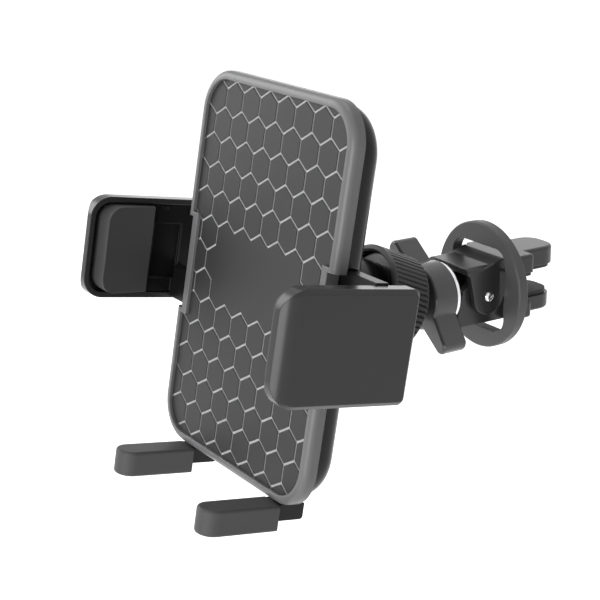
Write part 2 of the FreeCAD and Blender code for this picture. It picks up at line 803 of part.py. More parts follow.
for side, name in ((-1, "left"), (1, "right")):
    # the right jaw hangs a little lower on its arm than the left one
    drop = S["right_jaw_drop"] if side > 0 else size(0)
    low = -(S["jaw_bottom"] + drop)
    high = S["jaw_top"] - drop
    tray_low = low + S["jaw_wall"]
    tray_high = high - S["jaw_wall"]

    # the arm: a bar with rack teeth that ends in the jaw's inner panel
    body = new_body(name + "_arm")
    if side > 0:
        bar_low = pinion_height + pinion_radius - S["gear_tip"]
        bar_high = S["arm_high"]
    else:
        bar_low = -S["arm_low"]
        bar_high = pinion_height - pinion_radius + S["gear_tip"]
    extrude(body, "Pad", "XZ_Plane", arm_front, arm_back, [
        box_path(-S["arm_reach"] * side, (jaw_rim - 0.2) * side, bar_low, bar_high),
    ])
    # the rack's gaps: one faces the pinion's tooth at the middle
    pitch_line = pinion_height + pinion_radius * side
    gap_half = rack_pitch / 4 + S["gear_backlash"] / 2
    deep = pitch_line + S["gear_root"] * side
    mouth = pitch_line - (S["gear_tip"] + 0.5) * side
    start = -rack_pitch * 2 * side
    gap = [
        (start - (gap_half - S["gear_root"] * flank), deep),
        (start + (gap_half - S["gear_root"] * flank), deep),
        (start + (gap_half + (S["gear_tip"] + 0.5) * flank), mouth),
        (start - (gap_half + (S["gear_tip"] + 0.5) * flank), mouth),
    ]
    cut = extrude(body, "Pocket", "XZ_Plane", arm_front - 1, arm_back + 1, [gap])
    rack = linear(body, cut, "X_Axis", rack_pitch * (S["rack_teeth"] - 1), S["rack_teeth"])
    rack.Reversed = side < 0
    doc.recompute()
    # the panel inside the jaw, with its recess
    panel = [box_path(-S["grip_rear"] + 0.1, panel_rear, tray_low + 0.2, tray_high - 0.2)]
    if side > 0:
        extrude(body, "Pad", "YZ_Plane", panel_face, tray_floor - 0.1, panel)
    else:
        extrude(body, "Pad", "YZ_Plane", -(tray_floor - 0.1), -panel_face, panel)
    root_low = bar_low if side > 0 else tray_low + 0.2
    root_high = tray_high - 0.2 if side > 0 else bar_high
    extrude(body, "Pad", "XZ_Plane", arm_front, arm_back, [
        box_path((jaw_rim - 0.6) * side, (panel_face + 0.2) * side, root_low, root_high),
    ])
    recess = [box_path(-S["panel_front"], S["panel_back"], low + S["panel_low"],
                       high - S["panel_high"])]
    if side > 0:
        extrude(body, "Pocket", "YZ_Plane", panel_face - 1, panel_face + S["panel_recess"], recess)
    else:
        extrude(body, "Pocket", "YZ_Plane", -(panel_face + S["panel_recess"]), -(panel_face - 1),
                recess)
    body.Placement = CRADLE

    # the jaw's glossy cover, a shallow tray with bevelled front corners
    body = new_body(name + "_jaw_cover")
    fr = S["jaw_front_round"]
    rr = S["jaw_rear_round"]
    outer = [
        (-S["jaw_front"], low, fr), (S["jaw_rear"], low, rr),
        (S["jaw_rear"], high, rr), (-S["jaw_front"], high, fr),
    ]
    w = S["jaw_wall"]
    inner = [
        (-(S["jaw_front"] - w), tray_low, fr - w), (S["jaw_rear"] - w, tray_low, rr - w),
        (S["jaw_rear"] - w, tray_high, rr - w), (-(S["jaw_front"] - w), tray_high, fr - w),
    ]
    a = jaw_rim if side > 0 else -S["jaw_outer"]
    b = S["jaw_outer"] if side > 0 else -jaw_rim
    extrude(body, "Pad", "YZ_Plane", a, b, [outer])
    shoulder = S["jaw_outer"] - S["jaw_shoulder"]
    swept = S["jaw_front"] - S["jaw_sweep"]
    bulge = (S["jaw_shoulder"] * S["jaw_shoulder"] + S["jaw_sweep"] * S["jaw_sweep"]) / (
        2 * S["jaw_shoulder"])
    front_cut = [
        (shoulder * side, -(S["jaw_front"] + 1)),
        (shoulder * side, -S["jaw_front"]),
        (S["jaw_outer"] * side, -swept, bulge, side),
        ((S["jaw_outer"] + 1) * side, -swept),
        ((S["jaw_outer"] + 1) * side, -(S["jaw_front"] + 1)),
    ]
    face_x = side * S["jaw_outer"].value
    rear_at = S["jaw_rear"].value
    dress(body, "Chamfer", S["jaw_edge"],
          lambda e: flat_at(e, 0, face_x) and not flat_at(e, 1, rear_at))
    extrude(body, "Pocket", "XY_Plane", low - 1, high + 1, [front_cut])
    if side > 0:
        extrude(body, "Pocket", "YZ_Plane", jaw_rim - 1, tray_floor, [inner])
    else:
        extrude(body, "Pocket", "YZ_Plane", -tray_floor, -(jaw_rim - 1), [inner])
    body.Placement = CRADLE

    # the rubber grip: a wedge, thicker at the front, with a rounded front
    body = new_body(name + "_jaw_pad")
    grip_low = tray_low + S["grip_margin"]
    grip_high = tray_high - S["grip_margin"]
    wedge = [
        (tray_floor * side, -S["grip_front"]),
        ((tray_floor - S["grip_thick_front"]) * side, -S["grip_front"]),
        ((tray_floor - S["grip_thick_rear"]) * side, -S["grip_rear"]),
        (tray_floor * side, -S["grip_rear"]),
    ]
    extrude(body, "Pad", "XY_Plane", grip_low, grip_high, [wedge])
    front_at = -S["grip_front"].value
    dress(body, "Fillet", S["grip_round"],
          lambda e: flat_at(e, 1, front_at) and
          (flat_at(e, 2, grip_low.value) or flat_at(e, 2, grip_high.value)))
    body.Placement = CRADLE


# --------------------------------------------------------- feet and their caps

arm_top = -(bezel_tall + S["foot_drop"])
arm_bottom = arm_top - S["foot_arm_height"]
cap_top = -(bezel_tall + S["cap_drop"])
cap_bottom = cap_top - S["cap_height"]
core_top = cap_top - S["cap_wall"]
core_bottom = cap_bottom + S["cap_wall"]
for side, name in ((-1, "left"), (1, "right")):
    centre = foot_centre * side
    body = new_body(name + "_foot")
    profile = [
        (-S["foot_reach"], core_bottom), (-0.5, core_bottom), (-0.5, arm_bottom),
        (stem_back + S["foot_heel"], arm_bottom, 0.8), (stem_back + S["foot_heel"], arm_top),
        (stem_back, arm_top), (stem_back, arm_top + S["foot_stem_length"]),
        (stem_front, arm_top + S["foot_stem_length"]), (stem_front, arm_top),
        (0.3, arm_top), (0.3, core_top), (-S["foot_reach"], core_top),
    ]
    extrude(body, "Pad", "YZ_Plane", centre - stem_half, centre + stem_half, [profile])
    body.Placement = CRADLE
    body = new_body(name + "_foot_cap")
    half = S["cap_width"] / 2
    plan = [
        (centre - half, 0.2), (centre - half, -(S["cap_reach"] - half)),
        (centre, -S["cap_reach"], half, 1), (centre + half, -(S["cap_reach"] - half), half, 1),
        (centre + half, 0.2),
    ]
    extrude(body, "Pad", "XY_Plane", cap_bottom, cap_top, [plan])
    cap_z = (cap_bottom.value, cap_top.value)
    back_y = 0.2
    dress(body, "Fillet", S["cap_edge"],
          lambda e: (flat_at(e, 2, cap_z[0]) or flat_at(e, 2, cap_z[1]))
          and not flat_at(e, 1, back_y))
    extrude(body, "Pocket", "YZ_Plane", centre - stem_half - 0.03, centre + stem_half + 0.03, [
        box_path(-(S["foot_reach"] + 0.03), 2, core_bottom - 0.03, core_top + 0.03),
    ])
    body.Placement = CRADLE


# --------------------------------------------------------- release button

body = new_body("release_button")
extrude(body, "Pad", "XZ_Plane", button_front, button_back, [[
    (-(housing_half + S["button_proud"]), button_low, 1.2),
    (-(cavity_half - 0.3), button_low),
    (-(cavity_half - 0.3), button_high),
    (-(housing_half + S["button_proud"]), button_high, 1.2),
]])
extrude(body, "Pad", "XZ_Plane", button_front, button_back, [
    box_path(-(cavity_half - 0.2), -(cavity_half - 1.2), button_low - 0.8, button_high + 0.8),
])
body.Placement = CRADLE


# --------------------------------------------------------- ball socket

socket_turn = -S["socket_angle"].value
body = new_body("ball_socket")
crossing = math.tan(math.radians(S["socket_angle"].value))
root_height = (S["ball_back"] - housing_back) * crossing - S["ball_below"]
extrude(body, "Pad", "XZ_Plane", housing_back, housing_back + S["flange_thick"], [],
        [(0, root_height, S["flange_radius"])])
cup = S["ball_radius"] + S["liner_gap"] + S["liner_thick"] + S["cup_gap"]
cup_edge = math.sqrt(cup.value ** 2 - S["drum_rear"].value ** 2)
root_at = S["ball_back"] - housing_back + 2.0
revolve(body, "Revolution", "YZ_Plane", [
    (-root_at, 0), (-cup, 0), (S["drum_rear"], cup_edge, cup, -1),
    (S["drum_rear"], S["drum_radius"]), (-S["drum_length"], S["drum_radius"]),
    (-S["drum_length"], S["neck_radius"]), (-S["neck_length"], S["neck_radius"]),
    (-root_at, S["neck_root_radius"]),
], "H_Axis", socket_turn, (S["ball_back"], -S["ball_below"]))
extrude(body, "Pocket", "XZ_Plane", housing_back - 12, housing_back, [
    box_path(-20, 20, root_height - 20, root_height + 20),
])
body.Placement = CRADLE


# --------------------------------------------------------- socket liner

liner_in = S["ball_radius"] + S["liner_gap"]
liner_out = liner_in + S["liner_thick"]
end_in = math.sqrt(liner_in.value ** 2 - S["liner_rear"].value ** 2)
end_out = math.sqrt(liner_out.value ** 2 - S["liner_rear"].value ** 2)
body = new_body("socket_liner")
revolve(body, "Revolution", "YZ_Plane", [
    (-liner_out, 0, liner_out, 1), (-liner_in, 0), (S["liner_rear"], end_in, liner_in, -1),
    (S["liner_rear"], end_out),
], "H_Axis")
slot = extrude(body, "Pocket", "XZ_Plane", -3.0, S["liner_rear"] + 1, [
    box_path(-S["liner_slot"] / 2, S["liner_slot"] / 2, 0, liner_out + 1),
])
polar(body, slot, "Y_Axis", 4)
body.Placement = SOCKET


# --------------------------------------------------------- knurled collar

bore = S["drum_radius"] + S["thread_fit"]
lip_front = S["collar_rear"] - S["collar_lip"]
lip_in = math.sqrt(S["ball_radius"].value ** 2 - lip_front.value ** 2) + S["collar_lip_gap"]
lip_out = math.sqrt(S["ball_radius"].value ** 2 - S["collar_rear"].value ** 2) + S["collar_lip_gap"]
ch = S["collar_chamfer"]
body = new_body("collar_nut")
revolve(body, "Revolution", "YZ_Plane", [
    (-S["collar_front"], bore + 0.4), (-S["collar_front"], S["collar_radius"] - 0.5),
    (-S["collar_front"] + 0.5, S["collar_radius"]),
    (S["collar_rear"] - ch, S["collar_radius"]), (S["collar_rear"], S["collar_radius"] - ch),
    (S["collar_rear"], lip_out), (lip_front, lip_in), (lip_front, bore),
    (-S["collar_front"] + 0.5, bore),
], "H_Axis")
knurl_half = S["knurl_width"] / 2
groove = extrude(body, "Pocket", "XZ_Plane", -(S["collar_front"] - S["knurl_rim"]),
                 S["collar_rear"] + 1, [[
                     (0, S["collar_radius"] - S["knurl_depth"]),
                     (knurl_half, S["collar_radius"] + 0.1),
                     (-knurl_half, S["collar_radius"] + 0.1),
                 ]])
polar(body, groove, "Y_Axis", S["knurl_count"])
body.Placement = SOCKET


# --------------------------------------------------------- ball and stud

ball = new_solid("ball", "Part::Sphere")
bind(ball, "Radius", S["ball_radius"])
ball.Placement = MOUNT

seat = S["ball_radius"] + S["stud_seat_gap"]
seat_edge = math.sqrt(seat.value ** 2 - S["stud_collar"].value ** 2)
pin_z = -S["pin_below"]
body = new_body("ball_stud")
revolve(body, "Revolution", "YZ_Plane", [
    (seat, 0, seat, -1), (S["pin_back"] - 1, 0), (S["pin_back"] - 1, S["stud_radius"]),
    (S["stud_collar_end"] + 0.1, S["stud_radius"]), (S["stud_collar_end"] + 0.1, S["stud_collar"]),
    (seat_edge, S["stud_collar"]),
], "H_Axis")
extrude(body, "Pad", "YZ_Plane", -S["eye_thick"] / 2, S["eye_thick"] / 2, [],
        [(S["pin_back"], pin_z, S["eye_radius"])])
extrude(body, "Pocket", "YZ_Plane", -S["eye_thick"], S["eye_thick"], [],
        [(S["pin_back"], pin_z, S["pin_radius"])])
body.Placement = MOUNT


# --------------------------------------------------------- wing nut and washer

nut_rear = S["nut_front"] + S["nut_length"]
body = new_body("wing_nut")
extrude(body, "Pad", "XZ_Plane", S["nut_front"], nut_rear, [], [(0, 0, S["nut_radius"])])
wing_inner = S["nut_radius"] - 1.6
wing = [
    (wing_inner, -S["wing_root"]), (S["wing_reach"] - S["wing_round"], -S["wing_tip"]),
    (S["wing_reach"], -(S["wing_tip"] - S["wing_round"]), S["wing_round"], 1),
    (S["wing_reach"], S["wing_tip"] - S["wing_round"]),
    (S["wing_reach"] - S["wing_round"], S["wing_tip"], S["wing_round"], 1),
    (wing_inner, S["wing_root"]),
]
wing_pad = extrude(body, "Pad", "XZ_Plane", S["nut_front"], nut_rear, [wing])
polar(body, wing_pad, "Y_Axis", 2)
nut_ends = (S["nut_front"].value, nut_rear.value)
dress(body, "Chamfer", S["nut_edge"],
      lambda e: flat_at(e, 1, nut_ends[0]) or flat_at(e, 1, nut_ends[1]))
extrude(body, "Pocket", "XZ_Plane", S["nut_front"] - 1, nut_rear + 1, [],
        [(0, 0, S["nut_bore"])])
spin = FreeCAD.Rotation(V(0, 1, 0), -S["wing_angle"].value)
body.Placement = FreeCAD.Placement(ball_at, spin)

washer_front = nut_rear + S["washer_gap"]
washer_rear = washer_front + S["washer_thick"]
body = new_body("thrust_washer")
extrude(body, "Pad", "XZ_Plane", washer_front, washer_rear, [],
        [(0, 0, S["washer_radius"]), (0, 0, S["nut_bore"] + 0.15)])
body.Placement = MOUNT


# --------------------------------------------------------- clamp bracket with the upper jaw

ear_low = pin_z - S["ear_radius"]
ear_tip_front = S["pin_back"] - S["ear_radius"] + 0.8
rear_end = S["clamp_base_front"] + 1
body = new_body("clamp_bracket")
side_view = [
    (S["bracket_front"], S["bracket_top"]),
    (S["bracket_front"], S["bracket_top"] - S["bracket_wall"]),
    (S["ear_front"], S["bracket_top"] - S["bracket_wall"] - 0.4),
    (S["pin_back"] - S["ear_radius"], pin_z),
    (S["pin_back"] + S["ear_radius"], pin_z, S["ear_radius"], 1),
    (S["block_front"] + 1.7, S["clamp_upper"]),
    (rear_end, S["clamp_upper"]),
    (rear_end, S["clamp_top"]),
    (S["block_front"] + 1.4, S["clamp_top"]),
    (S["pin_back"] + 0.4, S["bracket_top"]),
]
extrude(body, "Pad", "YZ_Plane", -S["bracket_half"], S["bracket_half"], [side_view])
inner_half = S["bracket_half"] - S["bracket_wall"]
half_x = S["bracket_half"].value
top_at = S["bracket_top"].value
dress(body, "Fillet", S["bracket_fillet"],
      lambda e: flat_at(e, 2, top_at) and (flat_at(e, 0, half_x) or flat_at(e, 0, -half_x)))
extrude(body, "Pocket", "YZ_Plane", -inner_half, inner_half, [[
    (S["bracket_front"] - 1, ear_low - 1), (S["block_front"] + 8, ear_low - 1),
    (S["block_front"] + 8, S["clamp_upper"] - 0.01), (S["block_front"], S["clamp_upper"]),
    (S["block_front"], S["bracket_top"] - S["bracket_wall"]),
    (S["bracket_front"] - 1, S["bracket_top"] - S["bracket_wall"]),
]])
upper_shoulder = S["clamp_base_front"] + S["clamp_base_share"] * (
    S["clamp_upper_reach"] - S["clamp_base_front"])
jaw_plan = [
    (-S["clamp_base_half"], S["clamp_base_front"]), (S["clamp_base_half"], S["clamp_base_front"]),
    (S["clamp_base_half"], upper_shoulder, 1.2),
    (S["clamp_tongue_half"], upper_shoulder),
    (S["clamp_tongue_half"], S["clamp_upper_reach"], S["clamp_tip_round"]),
    (-S["clamp_tongue_half"], S["clamp_upper_reach"], S["clamp_tip_round"]),
    (-S["clamp_tongue_half"], upper_shoulder),
    (-S["clamp_base_half"], upper_shoulder, 1.2),
]
extrude(body, "Pad", "XY_Plane", S["clamp_upper"], S["clamp_top"], [jaw_plan])
clamp_z = S["clamp_top"].value
base_y = S["clamp_base_front"].value
dress(body, "Fillet", S["clamp_edge"],
      lambda e: flat_at(e, 2, clamp_z) and e.BoundBox.YMax > base_y + 0.1
      and e.BoundBox.YMin > base_y - 0.1 and not flat_at(e, 1, base_y))
extrude(body, "Pocket", "YZ_Plane", -(S["bracket_half"] + 1), S["bracket_half"] + 1, [],
        [(S["pin_back"], pin_z, S["pin_radius"])])
body.Placement = MOUNT


def liner_plan(reach, shoulder, front):
    inset = S["clamp_liner_inset"]
    base = S["clamp_base_half"] - inset
    tongue = S["clamp_tongue_half"] - inset
    rear = shoulder - inset
    tip = S["clamp_tip_round"] - inset
    return [
        (-base, front), (base, front), (base, rear), (tongue, rear),
        (tongue, reach - inset, tip), (-tongue, reach - inset, tip),
        (-tongue, rear), (-base, rear),
    ]


body = new_body("upper_jaw_liner")
extrude(body, "Pad", "XY_Plane", S["clamp_upper"] - S["clamp_liner"], S["clamp_upper"],
        [liner_plan(S["clamp_upper_reach"], upper_shoulder, S["clamp_base_front"] + 1.3)])
body.Placement = MOUNT


# --------------------------------------------------------- lower jaw

lever_rear = S["clamp_base_front"] + 1
body = new_body("lower_jaw")
lever_view = [
    (S["lever_nose"] + 1.2, -S["clamp_bottom"]),
    (lever_rear, -S["clamp_bottom"]),
    (lever_rear, -S["clamp_lower"]),
    (S["pin_back"] + 2.2, pin_z + 3.8),
    (S["pin_back"] - 3.6, pin_z + 3.8),
    (S["lever_nose"] + 1.6, 1.2),
    (S["lever_nose"], pin_z - 4.4),
    (S["lever_nose"], pin_z - 5.8),
]
extrude(body, "Pad", "YZ_Plane", -S["lever_half"], S["lever_half"], [lever_view])
channel_half = S["lever_half"] - S["lever_cheek"]
channel_rear = S["pin_back"] + S["eye_radius"] + 0.8
extrude(body, "Pocket", "YZ_Plane", -channel_half, channel_half, [
    box_path(S["lever_nose"] - 1, channel_rear, -(S["clamp_bottom"] - S["lever_floor"]),
             S["bracket_top"]),
])
lower_shoulder = S["clamp_base_front"] + S["clamp_base_share"] * (
    S["clamp_lower_reach"] - S["clamp_base_front"])
lower_plan = [
    (-S["clamp_base_half"], S["clamp_base_front"]), (S["clamp_base_half"], S["clamp_base_front"]),
    (S["clamp_base_half"], lower_shoulder, 1.2),
    (S["clamp_tongue_half"], lower_shoulder),
    (S["clamp_tongue_half"], S["clamp_lower_reach"], S["clamp_tip_round"]),
    (-S["clamp_tongue_half"], S["clamp_lower_reach"], S["clamp_tip_round"]),
    (-S["clamp_tongue_half"], lower_shoulder),
    (-S["clamp_base_half"], lower_shoulder, 1.2),
]
extrude(body, "Pad", "XY_Plane", -S["clamp_bottom"], -S["clamp_lower"], [lower_plan])
bottom_z = -S["clamp_bottom"].value
dress(body, "Fillet", S["clamp_edge"],
      lambda e: flat_at(e, 2, bottom_z) and e.BoundBox.YMin > base_y - 0.1
      and e.BoundBox.YMax > base_y + 1.5)
extrude(body, "Pocket", "YZ_Plane", -(S["lever_half"] + 1), S["lever_half"] + 1, [],
        [(S["pin_back"], pin_z, S["pin_radius"] + S["pin_fit"])])
body.Placement = MOUNT

body = new_body("lower_jaw_liner")
extrude(body, "Pad", "XY_Plane", -S["clamp_lower"], -(S["clamp_lower"] - S["clamp_lower_liner"]),
        [liner_plan(S["clamp_lower_reach"], lower_shoulder, S["clamp_base_front"] + 1.3)])
body.Placement = MOUNT


# --------------------------------------------------------- hinge pin

body = new_body("hinge_pin")
pin_half = S["bracket_half"] + S["pin_proud"]
extrude(body, "Pad", "YZ_Plane", -pin_half, pin_half, [],
        [(S["pin_back"], pin_z, S["pin_radius"])])
pin_end = pin_half.value
dress(body, "Chamfer", size(0.25),
      lambda e: flat_at(e, 0, pin_end) or flat_at(e, 0, -pin_end))
body.Placement = MOUNT


# --------------------------------------------------------- stop ring

ring_rear = S["ring_front"] + S["ring_thick"]
window_half = S["ring_window_width"] / 2
window_tall = S["ring_window_height"] / 2
body = new_body("stop_ring")
extrude(body, "Pad", "XZ_Plane", S["ring_front"], ring_rear,
        [rounded(window_half, -window_tall, window_tall, S["ring_window_round"])],
        [(0, 0, S["ring_radius"])])
ring_ends = (S["ring_front"].value, ring_rear.value)
ring_r = S["ring_radius"].value
dress(body, "Chamfer", S["ring_edge"],
      lambda e: (flat_at(e, 1, ring_ends[0]) or flat_at(e, 1, ring_ends[1]))
      and e.BoundBox.XMax - e.BoundBox.XMin > 1.9 * ring_r)
tab_high = S["bracket_top"] - S["bracket_wall"] - 0.3
tabs = []
for side in (-1, 1):
    tabs.append(box_path((window_half + 0.5) * side, S["bracket_half"] * side,
                         tab_high - S["ring_tab_height"], tab_high))
extrude(body, "Pad", "XZ_Plane", S["ring_front"] + S["ring_tab_inset"],
        ring_rear - S["ring_tab_inset"], tabs)
body.Placement = MOUNT


# --------------------------------------------------------- check and write

doc.recompute()
for obj in doc.Objects:
    for state in obj.State:
        if state in ("Invalid", "Error"):
            raise RuntimeError(obj.Name + " is " + state)
for part in PARTS:
    shape = part.Shape
    if shape.isNull() or not shape.isValid():
        raise RuntimeError(part.Label + " has no valid shape")
    if len(shape.Solids) != 1:
        raise RuntimeError(part.Label + " is in " + str(len(shape.Solids)) + " pieces")

os.makedirs("parts", exist_ok=True)
for part in PARTS:
    part.Shape.exportStep("parts/" + part.Label + ".step")
    box = part.Shape.BoundBox
    print(part.Label, round(part.Shape.Volume, 1), [round(v, 1) for v in (
        box.XMin, box.XMax, box.YMin, box.YMax, box.ZMin, box.ZMax)])
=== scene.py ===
import math

import bmesh
import bpy
from bpy.props import FloatProperty, FloatVectorProperty, PointerProperty
from mathutils import Matrix, Vector


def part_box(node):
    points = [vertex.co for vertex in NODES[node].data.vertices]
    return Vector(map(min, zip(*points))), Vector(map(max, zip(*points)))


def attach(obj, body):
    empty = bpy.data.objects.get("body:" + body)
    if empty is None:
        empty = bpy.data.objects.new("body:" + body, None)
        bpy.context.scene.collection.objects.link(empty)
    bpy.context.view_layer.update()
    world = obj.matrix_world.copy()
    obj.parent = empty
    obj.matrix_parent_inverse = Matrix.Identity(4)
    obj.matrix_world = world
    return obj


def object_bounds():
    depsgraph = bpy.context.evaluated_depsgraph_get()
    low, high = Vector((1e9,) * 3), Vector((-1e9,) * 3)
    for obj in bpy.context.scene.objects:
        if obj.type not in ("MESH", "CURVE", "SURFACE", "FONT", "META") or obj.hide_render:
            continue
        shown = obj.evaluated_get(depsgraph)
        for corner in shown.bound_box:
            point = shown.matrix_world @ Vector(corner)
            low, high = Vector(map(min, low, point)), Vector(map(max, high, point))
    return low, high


bl_info = {
    "name": "Vent Phone Holder",
    "version": (1, 0, 0),
    "blender": (4, 5, 0),
    "location": "View3D > Sidebar > Phone Holder",
    "description": "Dresses the air vent phone holder's parts and lights its stage",
    "category": "Object",
}

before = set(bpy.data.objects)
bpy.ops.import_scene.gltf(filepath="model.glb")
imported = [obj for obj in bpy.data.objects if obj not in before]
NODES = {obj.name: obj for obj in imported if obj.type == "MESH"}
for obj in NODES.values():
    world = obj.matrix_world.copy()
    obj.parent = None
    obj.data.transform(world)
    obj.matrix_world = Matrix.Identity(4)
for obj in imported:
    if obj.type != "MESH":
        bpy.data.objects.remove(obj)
CAD_BOX = [list(map(float, corner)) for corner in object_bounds()]

MM = 0.001

# The ball's centre in the holder's frame, and in the cradle's own frame.
BALL = Vector((0.0, -45.0, 0.0)) * MM
BALL_IN_CRADLE = Vector((0.0, 40.35, -5.26)) * MM
LEAN = math.radians(-9.9)
CRADLE = (
    Matrix.Translation(BALL)
    @ Matrix.Rotation(LEAN, 4, "X")
    @ Matrix.Translation(-BALL_IN_CRADLE)
)
MOUNT = Matrix.Translation(BALL)

# The jaws' arm panels in the cradle's frame, in millimetres: how far out they
# stand, and how much lower the right one sits.
PANEL_OUT = 43.0
RIGHT_JAW_DROP = 1.25

# The release button's ribs, in millimetres.
RIB_PITCH = 1.7
RIB_HALF_LENGTH = 1.3
RIB_RADIUS = 0.3
RIB_SINK = 0.12

# The clamp's hinge pin, on the mount's axes, in millimetres.
PIN_Y = 25.9
PIN_Z = -0.8

# The grip pad's tones by depth below its face, in millimetres: where each
# starts, where it is full, and how much of the cell's or groove's colour it is.
# The first band is painted shade on the lip of each cell, the second is painted
# shade on the groove walls, and the last is the grooves' own lighter floor.
PAD_TONE_AND_SHADE_BANDS = ((0.02, 0.04, "cell", 0.3), (0.13, 0.17, "groove", 0.55), (0.3, 0.36, "groove", 1.0))

# The camera's place, in metres, and its axes: right, up and back.
CAMERA_PLACE = (0.29699, -0.26351, 0.11703)
CAMERA_RIGHT = (0.54538, 0.83817, -0.00484)
CAMERA_UP = (-0.24965, 0.16794, 0.95366)
CAMERA_BACK = (0.80014, -0.51891, 0.30084)


# ------------------------------------------------------------------ settings


class HolderColours(bpy.types.PropertyGroup):
    """The colours of the holder's plastics, rubbers and steel."""

    bezel: FloatVectorProperty(
        name="Bezel", description="Satin plastic of the rim round the pad",
        subtype="COLOR", size=3, min=0, max=1, default=(0.17, 0.17, 0.1733))
    housing: FloatVectorProperty(
        name="Housing", description="Polished plastic of the shell behind the pad",
        subtype="COLOR", size=3, min=0, max=1, default=(0.006, 0.006, 0.0065))
    pad: FloatVectorProperty(
        name="Grip pad", description="Rubber of the honeycomb pad",
        subtype="COLOR", size=3, min=0, max=1, default=(0.025, 0.025, 0.0258))
    groove: FloatVectorProperty(
        name="Pad grooves", description="Rubber at the bottom of the honeycomb's grooves",
        subtype="COLOR", size=3, min=0, max=1, default=(0.56, 0.56, 0.565))
    jaw: FloatVectorProperty(
        name="Jaw covers", description="Polished plastic of the two jaws",
        subtype="COLOR", size=3, min=0, max=1, default=(0.028, 0.028, 0.029))
    rubber: FloatVectorProperty(
        name="Jaw rubber", description="Rubber of the two jaws' grips",
        subtype="COLOR", size=3, min=0, max=1, default=(0.066, 0.066, 0.0678))
    cap: FloatVectorProperty(
        name="Foot rubber", description="Rubber of the two feet's caps",
        subtype="COLOR", size=3, min=0, max=1, default=(0.09, 0.09, 0.092))
    arm: FloatVectorProperty(
        name="Arms", description="Plain plastic of the arms, feet and button",
        subtype="COLOR", size=3, min=0, max=1, default=(0.006, 0.006, 0.0063))
    collar: FloatVectorProperty(
        name="Collar", description="Plastic of the knurled collar and the socket's liner",
        subtype="COLOR", size=3, min=0, max=1, default=(0.04, 0.04, 0.041))
    clamp: FloatVectorProperty(
        name="Clamp", description="Satin plastic of the bracket, the lower jaw and the stud",
        subtype="COLOR", size=3, min=0, max=1, default=(0.033, 0.033, 0.0338))
    nut: FloatVectorProperty(
        name="Wing nut", description="Satin plastic of the wing nut",
        subtype="COLOR", size=3, min=0, max=1, default=(0.085, 0.085, 0.0868))
    ring: FloatVectorProperty(
        name="Ring", description="Satin plastic of the stop ring",
        subtype="COLOR", size=3, min=0, max=1, default=(0.108, 0.108, 0.1102))
    lining: FloatVectorProperty(
        name="Clamp linings", description="Rubber on the clamp's two jaws",
        subtype="COLOR", size=3, min=0, max=1, default=(0.09, 0.09, 0.092))
    steel: FloatVectorProperty(
        name="Steel", description="Plated steel of the washer and the hinge pin",
        subtype="COLOR", size=3, min=0, max=1, default=(0.82, 0.82, 0.84))


class StageSettings(bpy.types.PropertyGroup):
    """The camera, the lamps and the floor."""

    lens: FloatProperty(
        name="Lens", description="Focal length on a 36 mm wide sensor",
        default=93.36, min=10, max=400)
    floor_drop: FloatProperty(
        name="Floor depth", description="How far the floor lies below the lowest part",
        default=0.16, min=0, max=2, unit="LENGTH")
    key_power: FloatProperty(
        name="Key lamp", description="Power of the wide lamp in front, to the right",
        default=10.0, min=0, max=1000)
    side_power: FloatProperty(
        name="Side lamp", description="Power of the lamp in front, to the left",
        default=3.8, min=0, max=1000)
    top_power: FloatProperty(
        name="Top lamp", description="Power of the soft lamp overhead",
        default=2.0, min=0, max=1000)
    back_power: FloatProperty(
        name="Back lamp", description="Power of the low lamp behind, to the left",
        default=0.3, min=0, max=1000)
    floor_glow: FloatProperty(
        name="Floor glow", description="How much the floor glows towards the camera",
        default=0.85, min=0, max=1)
    room: FloatProperty(
        name="Room light", description="Strength of the light from all round",
        default=0.22, min=0, max=10)


# ------------------------------------------------------------------ shader groups


def new_group(name, inputs, outputs):
    """An empty shader node group with named inputs and outputs."""
    group = bpy.data.node_groups.new(name, "ShaderNodeTree")
    for label, kind, value in inputs:
        socket = group.interface.new_socket(label, in_out="INPUT", socket_type=kind)
        if value is not None:
            socket.default_value = value
    for label, kind in outputs:
        group.interface.new_socket(label, in_out="OUTPUT", socket_type=kind)
    return group


def add(tree, kind, **settings):
    """A new node in a tree, with its settings."""
    node = tree.nodes.new(kind)
    for key, value in settings.items():
        setattr(node, key, value)
    return node


